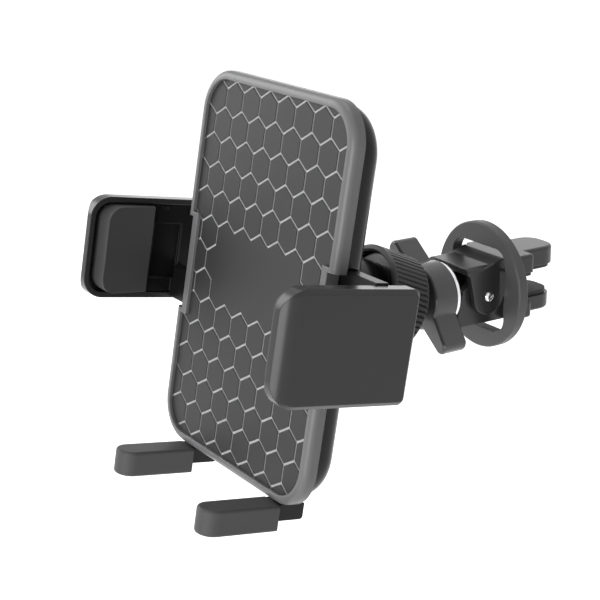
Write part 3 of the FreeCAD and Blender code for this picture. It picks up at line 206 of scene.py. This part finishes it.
def grain_group():
    """Fine moulded grain with slow, faint mottling."""
    group = new_group(
        "Moulded grain",
        [("Grain size", "NodeSocketFloat", 2200.0), ("Mottle size", "NodeSocketFloat", 60.0),
         ("Mottle", "NodeSocketFloat", 0.1), ("Roughness", "NodeSocketFloat", 0.4),
         ("Colour", "NodeSocketColor", (0.1, 0.1, 0.1, 1))],
        [("Colour", "NodeSocketColor"), ("Roughness", "NodeSocketFloat"),
         ("Height", "NodeSocketFloat")])
    into = add(group, "NodeGroupInput")
    out = add(group, "NodeGroupOutput")
    where = add(group, "ShaderNodeTexCoord")
    grain = add(group, "ShaderNodeTexNoise", noise_dimensions="3D")
    grain.inputs["Detail"].default_value = 2.0
    mottle = add(group, "ShaderNodeTexNoise", noise_dimensions="3D")
    mottle.inputs["Detail"].default_value = 4.0
    link = group.links.new
    link(where.outputs["Object"], grain.inputs["Vector"])
    link(where.outputs["Object"], mottle.inputs["Vector"])
    link(into.outputs["Grain size"], grain.inputs["Scale"])
    link(into.outputs["Mottle size"], mottle.inputs["Scale"])
    spread = add(group, "ShaderNodeMath", operation="SUBTRACT")
    link(mottle.outputs["Fac"], spread.inputs[0])
    spread.inputs[1].default_value = 0.5
    amount = add(group, "ShaderNodeMath", operation="MULTIPLY")
    link(spread.outputs[0], amount.inputs[0])
    link(into.outputs["Mottle"], amount.inputs[1])
    tone = add(group, "ShaderNodeMath", operation="ADD")
    link(amount.outputs[0], tone.inputs[0])
    tone.inputs[1].default_value = 1.0
    shade = add(group, "ShaderNodeVectorMath", operation="SCALE")
    link(into.outputs["Colour"], shade.inputs[0])
    link(tone.outputs[0], shade.inputs["Scale"])
    link(shade.outputs[0], out.inputs["Colour"])
    rough = add(group, "ShaderNodeMath", operation="MULTIPLY")
    link(into.outputs["Roughness"], rough.inputs[0])
    link(tone.outputs[0], rough.inputs[1])
    link(rough.outputs[0], out.inputs["Roughness"])
    link(grain.outputs["Fac"], out.inputs["Height"])
    return group


def edge_group():
    """Soft moulded edges: a rounded normal and a mask where the faces turn."""
    group = new_group(
        "Soft edge",
        [("Radius", "NodeSocketFloat", 0.0003)],
        [("Normal", "NodeSocketVector"), ("Edge", "NodeSocketFloat")])
    into = add(group, "NodeGroupInput")
    out = add(group, "NodeGroupOutput")
    rounded = add(group, "ShaderNodeBevel", samples=6)
    flat = add(group, "ShaderNodeNewGeometry")
    turn = add(group, "ShaderNodeVectorMath", operation="DOT_PRODUCT")
    link = group.links.new
    link(into.outputs["Radius"], rounded.inputs["Radius"])
    link(rounded.outputs["Normal"], turn.inputs[0])
    link(flat.outputs["Normal"], turn.inputs[1])
    mask = add(group, "ShaderNodeMapRange")
    mask.inputs["From Min"].default_value = 0.999
    mask.inputs["From Max"].default_value = 0.9
    link(turn.outputs["Value"], mask.inputs["Value"])
    link(rounded.outputs["Normal"], out.inputs["Normal"])
    link(mask.outputs["Result"], out.inputs["Edge"])
    return group


def plastic(name, colour, roughness, grain_depth=0.00002, grain_size=2200.0, mottle=0.12,
            edge=0.0003, edge_wear_and_light=1.25, coat=0.0, coat_roughness=0.1, specular=0.5):
    """Moulded plastic or rubber: grain, mottling, and soft edges tinted by a factor: above one
    they are lighter, for wear and as a painted highlight; below one they are darker, as painted
    shade.
    """
    material = bpy.data.materials.new(name)
    material.use_nodes = True
    tree = material.node_tree
    shader = tree.nodes["Principled BSDF"]
    grain = add(tree, "ShaderNodeGroup", node_tree=bpy.data.node_groups["Moulded grain"])
    grain.inputs["Grain size"].default_value = grain_size
    grain.inputs["Mottle"].default_value = mottle
    grain.inputs["Roughness"].default_value = roughness
    grain.inputs["Colour"].default_value = (*colour, 1.0)
    soft = add(tree, "ShaderNodeGroup", node_tree=bpy.data.node_groups["Soft edge"])
    soft.inputs["Radius"].default_value = edge
    # Edge tint: a factor above one lightens the edges for wear and as a painted highlight; below
    # one it darkens them as painted shade.
    edge_wear_and_light_tint = add(tree, "ShaderNodeMix", data_type="RGBA", blend_type="MIX")
    edge_wear_and_light_tint.inputs["B"].default_value = (*[min(1.0, c * edge_wear_and_light) for c in colour], 1.0)
    bump = add(tree, "ShaderNodeBump")
    bump.inputs["Strength"].default_value = 0.6
    bump.inputs["Distance"].default_value = grain_depth
    link = tree.links.new
    link(soft.outputs["Edge"], edge_wear_and_light_tint.inputs["Factor"])
    link(grain.outputs["Colour"], edge_wear_and_light_tint.inputs["A"])
    link(edge_wear_and_light_tint.outputs["Result"], shader.inputs["Base Color"])
    link(grain.outputs["Roughness"], shader.inputs["Roughness"])
    link(grain.outputs["Height"], bump.inputs["Height"])
    link(soft.outputs["Normal"], bump.inputs["Normal"])
    link(bump.outputs["Normal"], shader.inputs["Normal"])
    shader.inputs["Specular IOR Level"].default_value = specular
    shader.inputs["Coat Weight"].default_value = coat
    shader.inputs["Coat Roughness"].default_value = coat_roughness
    return material


def pad_rubber(name, colour, groove, roughness):
    """The honeycomb's rubber: dark cells with painted shade on their lip, groove walls darkened
    by painted shade, and light groove floors.
    """
    material = plastic(name, colour, roughness, grain_depth=0.00004, grain_size=1800.0,
                       mottle=0.1, edge=0.00012, edge_wear_and_light=1.0, specular=0.35)
    tree = material.node_tree
    shader = tree.nodes["Principled BSDF"]
    link = tree.links.new
    where = add(tree, "ShaderNodeTexCoord")
    depth = add(tree, "ShaderNodeVectorMath", operation="DOT_PRODUCT")
    into_pad = CRADLE.to_3x3() @ Vector((0.0, 1.0, 0.0))
    depth.inputs[1].default_value = into_pad
    link(where.outputs["Object"], depth.inputs[0])
    level = CRADLE.translation.dot(into_pad)
    below = shader.inputs["Base Color"].links[0].from_socket
    base = {"cell": colour, "groove": groove}
    # Depth bands: painted shade on the cells' lip and on the groove walls, then the grooves' own
    # lighter floor.
    for start, end, which, share in PAD_TONE_AND_SHADE_BANDS:
        mask = add(tree, "ShaderNodeMapRange")
        mask.inputs["From Min"].default_value = level + start * MM
        mask.inputs["From Max"].default_value = level + end * MM
        link(depth.outputs["Value"], mask.inputs["Value"])
        band = add(tree, "ShaderNodeMix", data_type="RGBA", blend_type="MIX")
        band.inputs["B"].default_value = (*[share * c for c in base[which]], 1.0)
        link(mask.outputs["Result"], band.inputs["Factor"])
        link(below, band.inputs["A"])
        below = band.outputs["Result"]
    link(below, shader.inputs["Base Color"])
    return material


def steel(name, colour, roughness):
    """Plated steel with faint turning marks."""
    material = bpy.data.materials.new(name)
    material.use_nodes = True
    tree = material.node_tree
    shader = tree.nodes["Principled BSDF"]
    grain = add(tree, "ShaderNodeGroup", node_tree=bpy.data.node_groups["Moulded grain"])
    grain.inputs["Grain size"].default_value = 5000.0
    grain.inputs["Mottle"].default_value = 0.15
    grain.inputs["Roughness"].default_value = roughness
    grain.inputs["Colour"].default_value = (*colour, 1.0)
    soft = add(tree, "ShaderNodeGroup", node_tree=bpy.data.node_groups["Soft edge"])
    soft.inputs["Radius"].default_value = 0.0002
    bump = add(tree, "ShaderNodeBump")
    bump.inputs["Strength"].default_value = 0.3
    bump.inputs["Distance"].default_value = 0.000005
    link = tree.links.new
    link(grain.outputs["Colour"], shader.inputs["Base Color"])
    link(grain.outputs["Roughness"], shader.inputs["Roughness"])
    link(grain.outputs["Height"], bump.inputs["Height"])
    link(soft.outputs["Normal"], bump.inputs["Normal"])
    link(bump.outputs["Normal"], shader.inputs["Normal"])
    shader.inputs["Metallic"].default_value = 1.0
    return material


def dress_node(node, material):
    """Gives a CAD node its material on every slot."""
    obj = NODES[node]
    for slot in obj.material_slots:
        slot.material = material


def dress_nodes(nodes, material):
    """Gives several CAD nodes one material."""
    for node in nodes:
        dress_node(node, material)


def seen_rays(tree):
    """One for rays from the camera, in reflections and through glass, else zero."""
    path = add(tree, "ShaderNodeLightPath")
    either = add(tree, "ShaderNodeMath", operation="MAXIMUM")
    any_of = add(tree, "ShaderNodeMath", operation="MAXIMUM")
    link = tree.links.new
    link(path.outputs["Is Camera Ray"], either.inputs[0])
    link(path.outputs["Is Glossy Ray"], either.inputs[1])
    link(either.outputs[0], any_of.inputs[0])
    link(path.outputs["Is Transmission Ray"], any_of.inputs[1])
    return any_of.outputs[0]


# ------------------------------------------------------------------ mesh helpers


def finish_piece(name, mesh, place, body, material, smooth=35.0):
    """Turns a bmesh drawn in millimetres into a named piece riding on a body."""
    bmesh.ops.scale(mesh, vec=Vector((MM, MM, MM)), verts=mesh.verts)
    bmesh.ops.transform(mesh, matrix=place, verts=mesh.verts)
    bmesh.ops.recalc_face_normals(mesh, faces=mesh.faces)
    data = bpy.data.meshes.new(name)
    mesh.to_mesh(data)
    mesh.free()
    data.materials.append(material)
    obj = bpy.data.objects.new(name, data)
    bpy.context.scene.collection.objects.link(obj)
    for polygon in data.polygons:
        polygon.use_smooth = True
    data.set_sharp_from_angle(angle=math.radians(smooth))
    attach(obj, body)
    return obj


def add_rib(mesh, start, end, radius, segments=10):
    """A round rib between two points, with closed ends, added to a bmesh."""
    start, end = Vector(start), Vector(end)
    along = end - start
    turn = along.to_track_quat("Z", "Y").to_matrix().to_4x4()
    bmesh.ops.create_cone(
        mesh, cap_ends=True, segments=segments, radius1=radius, radius2=radius,
        depth=along.length, matrix=Matrix.Translation((start + end) / 2) @ turn)


def add_block(mesh, low, high, round_off):
    """A block between two corners with rounded edges, added to a bmesh."""
    low, high = Vector(low), Vector(high)
    made = bmesh.ops.create_cube(mesh, size=1.0)["verts"]
    bmesh.ops.scale(mesh, vec=high - low, verts=made)
    bmesh.ops.translate(mesh, vec=(low + high) / 2, verts=made)
    edges = {edge for vert in made for edge in vert.link_edges}
    bmesh.ops.bevel(mesh, geom=list(edges), offset=round_off, offset_type="OFFSET",
                    segments=2, profile=0.5, affect="EDGES", material=-1)


def add_frame(mesh, face_x, low, high, width, height):
    """A flat raised frame on the plane at face_x, rising towards the middle."""
    inward = -1.0 if face_x > 0 else 1.0
    corners = [(low[0], low[1]), (high[0], low[1]), (high[0], high[1]), (low[0], high[1])]
    verts = [mesh.verts.new((face_x, y, z)) for y, z in corners]
    face = mesh.faces.new(verts)
    mesh.normal_update()
    rim = bmesh.ops.inset_region(
        mesh, faces=[face], thickness=width, depth=0.0, use_boundary=True,
        use_even_offset=True)["faces"]
    bmesh.ops.delete(mesh, geom=[face], context="FACES_ONLY")
    raised = bmesh.ops.extrude_face_region(mesh, geom=rim, use_keep_orig=True)["geom"]
    lifted = [item for item in raised if isinstance(item, bmesh.types.BMVert)]
    bmesh.ops.translate(mesh, vec=Vector((inward * height, 0, 0)), verts=lifted)


# ------------------------------------------------------------------ operators


class HOLDER_OT_shaders(bpy.types.Operator):
    """Builds the shader groups that the finishes share"""

    bl_idname = "holder.shaders"
    bl_label = "Shader Groups"

    def execute(self, context):
        grain_group()
        edge_group()
        return {"FINISHED"}


class HOLDER_OT_cradle(bpy.types.Operator):
    """Finishes the bezel, the housing and the socket behind it"""

    bl_idname = "holder.cradle"
    bl_label = "Cradle Shell"

    def execute(self, context):
        colours = context.scene.holder_colours
        dress_node("front_bezel", plastic(
            "Satin bezel", colours.bezel, 0.34, grain_depth=0.000012, mottle=0.1,
            edge=0.0004, edge_wear_and_light=1.0, specular=0.34))
        dress_node("back_housing", plastic(
            "Polished housing", colours.housing, 0.16, grain_depth=0.000003, mottle=0.06,
            edge=0.0004, specular=0.24))
        dress_node("ball_socket", plastic(
            "Socket plastic", colours.housing, 0.24, grain_depth=0.000006, mottle=0.08,
            specular=0.3))
        button = plastic("Button plastic", colours.arm, 0.4, specular=0.3)
        dress_node("release_button", button)
        self.button_ribs(button)
        screw = steel("Blackened steel", (0.12, 0.12, 0.125), 0.35)
        dress_nodes(["housing_screw_%d" % n for n in range(1, 5)], screw)
        return {"FINISHED"}

    def button_ribs(self, finish):
        """Fine ribs across the release button, for the thumb."""
        low, high = (Vector(corner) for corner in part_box("release_button"))
        middle = CRADLE.inverted() @ ((low + high) / 2)
        face_x = low.x / MM
        mesh = bmesh.new()
        for step in range(-2, 3):
            at = middle.z / MM + RIB_PITCH * step
            add_rib(mesh, (face_x + RIB_SINK, middle.y / MM - RIB_HALF_LENGTH, at),
                    (face_x + RIB_SINK, middle.y / MM + RIB_HALF_LENGTH, at), RIB_RADIUS)
        finish_piece("button_ribs", mesh, CRADLE, "button", finish)


class HOLDER_OT_grip_pad(bpy.types.Operator):
    """Finishes the honeycomb pad"""

    bl_idname = "holder.grip_pad"
    bl_label = "Grip Pad"

    def execute(self, context):
        colours = context.scene.holder_colours
        dress_node("grip_pad", pad_rubber("Pad rubber", colours.pad, colours.groove, 0.5))
        return {"FINISHED"}


class HOLDER_OT_jaws(bpy.types.Operator):
    """Finishes the arms, the jaws' covers and their rubber grips"""

    bl_idname = "holder.jaws"
    bl_label = "Jaws and Arms"

    def execute(self, context):
        colours = context.scene.holder_colours
        cover = plastic("Polished jaw", colours.jaw, 0.26, grain_depth=0.000003, mottle=0.05,
                        edge=0.0004, edge_wear_and_light=1.1, specular=0.34)
        grip = plastic("Jaw rubber", colours.rubber, 0.55, grain_depth=0.00003, edge=0.0005,
                       specular=0.25)
        arm = plastic("Arm plastic", colours.arm, 0.34, grain_depth=0.000008, mottle=0.1,
                      specular=0.2)
        gear = plastic("Gear plastic", (0.62, 0.61, 0.57), 0.4)
        for side, sign, drop in (("left", -1, 0.0), ("right", 1, RIGHT_JAW_DROP)):
            dress_node(side + "_jaw_cover", cover)
            dress_node(side + "_jaw_pad", grip)
            dress_node(side + "_arm", arm)
            self.panel_frame(side, sign * PANEL_OUT, drop, arm)
            self.panel_clips(side, sign * PANEL_OUT, drop, arm)
        dress_node("pinion", gear)
        return {"FINISHED"}

    def panel_frame(self, side, face_x, drop, finish):
        """The fine raised frame round the recess in the arm's panel."""
        mesh = bmesh.new()
        add_frame(mesh, face_x, (-4.05, -9.65 - drop), (4.45, 4.95 - drop), 0.35, 0.16)
        finish_piece(side + "_panel_frame", mesh, CRADLE, side + "_jaw", finish)

    def panel_clips(self, side, face_x, drop, finish):
        """The two small clips at the top of the arm's panel."""
        inward = -1.0 if face_x > 0 else 1.0
        mesh = bmesh.new()
        near = face_x - inward * 0.1
        far = face_x + inward * 0.38
        top = 9.0 - drop
        add_block(mesh, (min(near, far), -2.3, top - 0.75), (max(near, far), -0.3, top), 0.12)
        add_block(mesh, (min(near, far), 5.9, top - 2.3), (max(near, far), 6.35, top), 0.1)
        finish_piece(side + "_panel_clips", mesh, CRADLE, side + "_jaw", finish)


class HOLDER_OT_feet(bpy.types.Operator):
    """Finishes the two sliding feet and their caps"""

    bl_idname = "holder.feet"
    bl_label = "Feet"

    def execute(self, context):
        colours = context.scene.holder_colours
        cap = plastic("Foot rubber", colours.cap, 0.5, grain_depth=0.00003, edge=0.0004,
                      specular=0.2)
        stem = plastic("Foot plastic", colours.arm, 0.4, specular=0.25)
        for side in ("left", "right"):
            dress_node(side + "_foot_cap", cap)
            dress_node(side + "_foot", stem)
        return {"FINISHED"}


class HOLDER_OT_joint(bpy.types.Operator):
    """Finishes the ball, the liner, the knurled collar and the stud"""

    bl_idname = "holder.joint"
    bl_label = "Ball Joint"

    def execute(self, context):
        colours = context.scene.holder_colours
        # The strong edge factor paints a highlight along the collar's ridges.
        collar = plastic("Collar plastic", colours.collar, 0.34, edge=0.00015, edge_wear_and_light=3.0,
                         specular=0.3)
        dress_node("collar_nut", collar)
        dress_node("socket_liner", plastic("Liner plastic", colours.collar, 0.4, specular=0.3))
        dress_nodes(["ball", "ball_stud"], plastic(
            "Ball plastic", colours.clamp, 0.3, specular=0.35))
        return {"FINISHED"}


class HOLDER_OT_clamp(bpy.types.Operator):
    """Finishes the wing nut, the washer, the clamp's jaws and the stop ring"""

    bl_idname = "holder.clamp"
    bl_label = "Vent Clamp"

    def execute(self, context):
        colours = context.scene.holder_colours
        # An edge factor below one paints shade on the wing nut's edges.
        dress_node("wing_nut", plastic(
            "Nut plastic", colours.nut, 0.27, grain_depth=0.000006, edge=0.0005, edge_wear_and_light=0.5,
            specular=0.6))
        # The raised edge factor paints a highlight on the clamp's edges.
        clamp = plastic("Clamp plastic", colours.clamp, 0.3, grain_depth=0.000006, edge=0.0005,
                        edge_wear_and_light=1.5, specular=0.5)
        dress_nodes(["clamp_bracket", "lower_jaw"], clamp)
        dress_node("stop_ring", plastic(
            "Ring plastic", colours.ring, 0.42, grain_depth=0.000015, edge=0.0003, edge_wear_and_light=1.2,
            specular=0.3))
        lining = plastic("Lining rubber", colours.lining, 0.6, grain_depth=0.00003, specular=0.25)
        dress_nodes(["upper_jaw_liner", "lower_jaw_liner"], lining)
        bright = steel("Plated steel", colours.steel, 0.18)
        dress_nodes(["thrust_washer", "hinge_pin"], bright)
        for side, sign in (("left", -1), ("right", 1)):
            self.pin_head(side, sign, bright)
        return {"FINISHED"}

    def pin_head(self, side, sign, finish):
        """The domed end of the hinge pin, with a small dimple in it."""
        mesh = bmesh.new()
        outline = ((8.2, 1.15), (8.34, 1.15), (8.46, 1.0), (8.52, 0.7), (8.53, 0.45),
                   (8.47, 0.3), (8.44, 0.0))
        verts = [mesh.verts.new((sign * x, PIN_Y, PIN_Z + r)) for x, r in outline]
        edges = [mesh.edges.new(pair) for pair in zip(verts, verts[1:])]
        bmesh.ops.spin(mesh, geom=verts + edges, cent=(0, PIN_Y, PIN_Z), axis=(1, 0, 0),
                       dvec=(0, 0, 0), angle=math.tau, steps=32, use_merge=True,
                       use_duplicate=False)
        bmesh.ops.remove_doubles(mesh, verts=mesh.verts, dist=0.001)
        rims = [edge for edge in mesh.edges if edge.is_boundary]
        bmesh.ops.holes_fill(mesh, edges=rims, sides=0)
        finish_piece(side + "_pin_head", mesh, MOUNT, "mount", finish)


class HOLDER_OT_stage(bpy.types.Operator):
    """Sets the camera, the lamps, the room's light and the floor"""

    bl_idname = "holder.stage"
    bl_label = "Stage"

    def execute(self, context):
        settings = context.scene.holder_stage
        scene = context.scene
        scene.view_settings.view_transform = "Standard"

        camera_data = bpy.data.cameras.new("camera")
        camera_data.lens = settings.lens
        camera_data.sensor_width = 36.0
        camera_data.clip_start = 0.01
        camera_data.clip_end = 50.0
        camera = bpy.data.objects.new("camera", camera_data)
        turn = Matrix((CAMERA_RIGHT, CAMERA_UP, CAMERA_BACK)).transposed().to_4x4()
        camera.matrix_world = Matrix.Translation(Vector(CAMERA_PLACE)) @ turn
        scene.collection.objects.link(camera)
        scene.camera = camera

        middle = Vector((0.0, -0.06, 0.01))
        lamps = (
            ("key_lamp", (0.5, -1.06, 0.08), 0.8, 0.7, settings.key_power),
            ("side_lamp", (-0.8, -0.45, 0.38), 0.5, 0.6, settings.side_power),
            ("top_lamp", (-0.25, 0.1, 0.85), 0.5, 0.5, settings.top_power),
            ("back_lamp", (-0.76, 0.53, 0.13), 0.4, 0.2, settings.back_power),
        )
        for name, place, width, height, power in lamps:
            data = bpy.data.lights.new(name, "AREA")
            data.shape = "RECTANGLE"
            data.size = width
            data.size_y = height
            data.energy = power
            lamp = bpy.data.objects.new(name, data)
            aim = (middle - Vector(place)).to_track_quat("-Z", "Y")
            lamp.matrix_world = Matrix.Translation(Vector(place)) @ aim.to_matrix().to_4x4()
            scene.collection.objects.link(lamp)

        world = bpy.data.worlds.new("room")
        world.use_nodes = True
        scene.world = world
        tree = world.node_tree
        tree.nodes.clear()
        lit = add(tree, "ShaderNodeBackground")
        lit.inputs["Color"].default_value = (1, 1, 1, 1)
        lit.inputs["Strength"].default_value = settings.room
        white = add(tree, "ShaderNodeBackground")
        white.inputs["Color"].default_value = (1, 1, 1, 1)
        white.inputs["Strength"].default_value = 1.0
        blend = add(tree, "ShaderNodeMixShader")
        end = add(tree, "ShaderNodeOutputWorld")
        link = tree.links.new
        link(seen_rays(tree), blend.inputs["Fac"])
        link(lit.outputs[0], blend.inputs[1])
        link(white.outputs[0], blend.inputs[2])
        link(blend.outputs[0], end.inputs["Surface"])

        floor = bpy.data.materials.new("Pale floor")
        floor.use_nodes = True
        tree = floor.node_tree
        tree.nodes.clear()
        matte = add(tree, "ShaderNodeBsdfDiffuse")
        matte.inputs["Color"].default_value = (0.85, 0.85, 0.85, 1)
        glow = add(tree, "ShaderNodeEmission")
        glow.inputs["Color"].default_value = (1, 1, 1, 1)
        share = add(tree, "ShaderNodeMath", operation="MULTIPLY")
        share.inputs[1].default_value = settings.floor_glow
        both = add(tree, "ShaderNodeAddShader")
        end = add(tree, "ShaderNodeOutputMaterial")
        link = tree.links.new
        link(seen_rays(tree), share.inputs[0])
        link(share.outputs[0], glow.inputs["Strength"])
        link(matte.outputs[0], both.inputs[0])
        link(glow.outputs[0], both.inputs[1])
        link(both.outputs[0], end.inputs["Surface"])

        mesh = bmesh.new()
        bmesh.ops.create_grid(mesh, x_segments=1, y_segments=1, size=20.0)
        low = CAD_BOX[0][2] - settings.floor_drop
        bmesh.ops.translate(mesh, vec=Vector((0, 0, low)), verts=mesh.verts)
        data = bpy.data.meshes.new("floor")
        mesh.to_mesh(data)
        mesh.free()
        data.materials.append(floor)
        plane = bpy.data.objects.new("floor", data)
        scene.collection.objects.link(plane)
        return {"FINISHED"}


class HOLDER_PT_panel(bpy.types.Panel):
    """Lists the holder's steps in the sidebar"""

    bl_idname = "HOLDER_PT_panel"
    bl_label = "Phone Holder"
    bl_space_type = "VIEW_3D"
    bl_region_type = "UI"
    bl_category = "Phone Holder"

    def draw(self, context):
        for step in STEPS:
            self.layout.operator(step.bl_idname)


STEPS = (
    HOLDER_OT_stage,
    HOLDER_OT_shaders,
    HOLDER_OT_cradle,
    HOLDER_OT_grip_pad,
    HOLDER_OT_jaws,
    HOLDER_OT_feet,
    HOLDER_OT_joint,
    HOLDER_OT_clamp,
)
CLASSES = (HolderColours, StageSettings) + STEPS + (HOLDER_PT_panel,)


def register():
    for cls in CLASSES:
        bpy.utils.register_class(cls)
    bpy.types.Scene.holder_colours = PointerProperty(type=HolderColours)
    bpy.types.Scene.holder_stage = PointerProperty(type=StageSettings)


def unregister():
    del bpy.types.Scene.holder_stage
    del bpy.types.Scene.holder_colours
    for cls in reversed(CLASSES):
        bpy.utils.unregister_class(cls)


def main():
    register()
    for step in STEPS:
        group, name = step.bl_idname.split(".")
        getattr(getattr(bpy.ops, group), name)()


if __name__ == "__main__":
    main()
